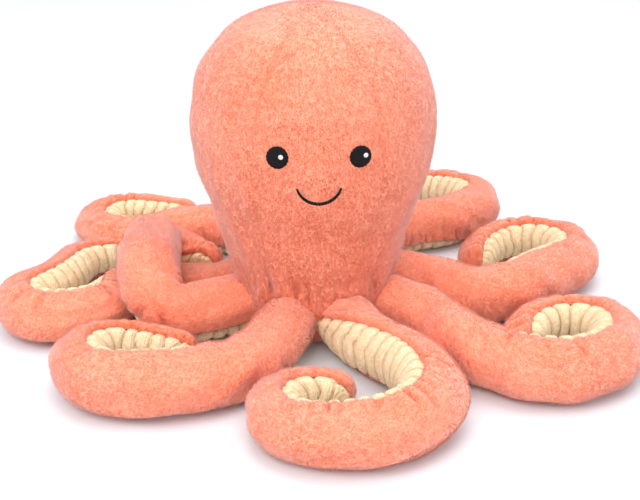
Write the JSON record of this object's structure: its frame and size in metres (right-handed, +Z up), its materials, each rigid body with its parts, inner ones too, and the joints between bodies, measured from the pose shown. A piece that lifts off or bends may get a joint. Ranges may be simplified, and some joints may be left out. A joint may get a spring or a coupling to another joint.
{
  "type": "plush octopus",
  "caption": "Stuffed octopus toy with a pear-shaped head, embroidered face and curled arms lined with ruched corduroy.",
  "frame": {"origin": "centre of the flat underside of the base panel, on the floor and on the head's axis", "axes": "+Z up along the head's axis, -Y towards the front with the face, +X to the right in the picture"},
  "size_m": [0.365, 0.3651, 0.1865],
  "materials": {
    "coral_plush": "short soft pile",
    "cream_corduroy": "fine-wale corduroy, ruched",
    "fibre_filling": "loose fibre",
    "pellets": "pellets in a cloth bag",
    "black_thread": "satin stitch embroidery",
    "white_thread": "satin stitch embroidery"
  },
  "bodies": {
    "body": {"face_gore": "coral_plush", "right_gore": "coral_plush", "back_gore": "coral_plush", "left_gore": "coral_plush", "base_panel": "coral_plush", "body_filling": "fibre_filling", "pellet_bag": "pellets", "left_eye": "black_thread", "left_eye_glint": "white_thread", "right_eye": "black_thread", "right_eye_glint": "white_thread", "mouth": "black_thread"},
    "front_right_arm": {"front_right_arm_plush": "coral_plush", "front_right_arm_corduroy": "cream_corduroy", "front_right_arm_filling": "fibre_filling"},
    "front_right_arm_tip": {"front_right_arm_tip_plush": "coral_plush", "front_right_arm_tip_corduroy": "cream_corduroy", "front_right_arm_tip_filling": "fibre_filling"},
    "right_front_arm": {"right_front_arm_plush": "coral_plush", "right_front_arm_corduroy": "cream_corduroy", "right_front_arm_filling": "fibre_filling"},
    "right_front_arm_tip": {"right_front_arm_tip_plush": "coral_plush", "right_front_arm_tip_corduroy": "cream_corduroy", "right_front_arm_tip_filling": "fibre_filling"},
    "right_back_arm": {"right_back_arm_plush": "coral_plush", "right_back_arm_corduroy": "cream_corduroy", "right_back_arm_filling": "fibre_filling"},
    "right_back_arm_tip": {"right_back_arm_tip_plush": "coral_plush", "right_back_arm_tip_corduroy": "cream_corduroy", "right_back_arm_tip_filling": "fibre_filling"},
    "back_right_arm": {"back_right_arm_plush": "coral_plush", "back_right_arm_corduroy": "cream_corduroy", "back_right_arm_filling": "fibre_filling"},
    "back_right_arm_tip": {"back_right_arm_tip_plush": "coral_plush", "back_right_arm_tip_corduroy": "cream_corduroy", "back_right_arm_tip_filling": "fibre_filling"},
    "back_left_arm": {"back_left_arm_plush": "coral_plush", "back_left_arm_corduroy": "cream_corduroy", "back_left_arm_filling": "fibre_filling"},
    "back_left_arm_tip": {"back_left_arm_tip_plush": "coral_plush", "back_left_arm_tip_corduroy": "cream_corduroy", "back_left_arm_tip_filling": "fibre_filling"},
    "left_back_arm": {"left_back_arm_plush": "coral_plush", "left_back_arm_corduroy": "cream_corduroy", "left_back_arm_filling": "fibre_filling"},
    "left_back_arm_tip": {"left_back_arm_tip_plush": "coral_plush", "left_back_arm_tip_corduroy": "cream_corduroy", "left_back_arm_tip_filling": "fibre_filling"},
    "left_front_arm": {"left_front_arm_plush": "coral_plush", "left_front_arm_corduroy": "cream_corduroy", "left_front_arm_filling": "fibre_filling"},
    "left_front_arm_tip": {"left_front_arm_tip_plush": "coral_plush", "left_front_arm_tip_corduroy": "cream_corduroy", "left_front_arm_tip_filling": "fibre_filling"},
    "front_left_arm": {"front_left_arm_plush": "coral_plush", "front_left_arm_corduroy": "cream_corduroy", "front_left_arm_filling": "fibre_filling"},
    "front_left_arm_tip": {"front_left_arm_tip_plush": "coral_plush", "front_left_arm_tip_corduroy": "cream_corduroy", "front_left_arm_tip_filling": "fibre_filling"}
  },
  "joints": [
    {"name": "front_right_arm_lift", "type": "hinge", "parent": "body", "child": "front_right_arm", "pos_m": [0.01866, -0.04192, 0.01898], "axis": [-0.9135, -0.4067, 0], "range_deg": [-15, 35]},
    {"name": "front_right_arm_tip_uncurl", "type": "hinge", "parent": "front_right_arm", "child": "front_right_arm_tip", "pos_m": [0.04583, -0.16252, 0.01571], "axis": [0, 0, 1], "range_deg": [0, 25], "stiffness_Nm_per_rad": 0.05},
    {"name": "right_front_arm_lift", "type": "hinge", "parent": "body", "child": "right_front_arm", "pos_m": [0.04283, -0.01644, 0.01898], "axis": [-0.3584, -0.9336, 0], "range_deg": [-30, 25]},
    {"name": "right_front_arm_tip_uncurl", "type": "hinge", "parent": "right_front_arm", "child": "right_front_arm_tip", "pos_m": [0.14766, -0.10657, 0.01571], "axis": [0, 0, -1], "range_deg": [0, 25], "stiffness_Nm_per_rad": 0.05},
    {"name": "right_back_arm_lift", "type": "hinge", "parent": "body", "child": "right_back_arm", "pos_m": [0.04312, 0.01569, 0.01898], "axis": [0.342, -0.9397, 0], "range_deg": [-15, 35]},
    {"name": "right_back_arm_tip_uncurl", "type": "hinge", "parent": "right_back_arm", "child": "right_back_arm_tip", "pos_m": [0.16506, 0.02063, 0.01571], "axis": [0, 0, -1], "range_deg": [0, 25], "stiffness_Nm_per_rad": 0.05},
    {"name": "back_right_arm_lift", "type": "hinge", "parent": "body", "child": "back_right_arm", "pos_m": [0.02154, 0.04051, 0.01898], "axis": [0.8829, -0.4695, 0], "range_deg": [-30, 35]},
    {"name": "back_right_arm_tip_uncurl", "type": "hinge", "parent": "back_right_arm", "child": "back_right_arm_tip", "pos_m": [0.12342, 0.12063, 0.01571], "axis": [0, 0, -1], "range_deg": [0, 25], "stiffness_Nm_per_rad": 0.05},
    {"name": "back_left_arm_lift", "type": "hinge", "parent": "body", "child": "back_left_arm", "pos_m": [-0.02083, 0.04088, 0.01898], "axis": [0.891, 0.454, 0], "range_deg": [-25, 8]},
    {"name": "back_left_arm_tip_uncurl", "type": "hinge", "parent": "back_left_arm", "child": "back_left_arm_tip", "pos_m": [-0.11143, 0.08324, 0.01141], "axis": [0, 0, 1], "range_deg": [0, 20], "stiffness_Nm_per_rad": 0.05},
    {"name": "left_back_arm_lift", "type": "hinge", "parent": "body", "child": "left_back_arm", "pos_m": [-0.04312, 0.01569, 0.01898], "axis": [0.342, 0.9397, 0], "range_deg": [-30, 0]},
    {"name": "left_back_arm_tip_uncurl", "type": "hinge", "parent": "left_back_arm", "child": "left_back_arm_tip", "pos_m": [-0.14103, -0.04375, 0.01355], "axis": [0, 0, 1], "range_deg": [0, 25], "stiffness_Nm_per_rad": 0.05},
    {"name": "left_front_arm_lift", "type": "hinge", "parent": "body", "child": "left_front_arm", "pos_m": [-0.04283, -0.01644, 0.01898], "axis": [-0.3584, 0.9336, 0], "range_deg": [0, 15]},
    {"name": "left_front_arm_tip_lift", "type": "hinge", "parent": "left_front_arm", "child": "left_front_arm_tip", "pos_m": [-0.0971, 0.01263, 0.05458], "axis": [0.9998, 0.0175, 0], "range_deg": [0, 35], "stiffness_Nm_per_rad": 0.05},
    {"name": "front_left_arm_lift", "type": "hinge", "parent": "body", "child": "front_left_arm", "pos_m": [-0.01494, -0.04338, 0.01898], "axis": [-0.9455, 0.3256, 0], "range_deg": [-30, 25]},
    {"name": "front_left_arm_tip_uncurl", "type": "hinge", "parent": "front_left_arm", "child": "front_left_arm_tip", "pos_m": [-0.09919, -0.12312, 0.01571], "axis": [0, 0, 1], "range_deg": [0, 25], "stiffness_Nm_per_rad": 0.05}
  ]
}
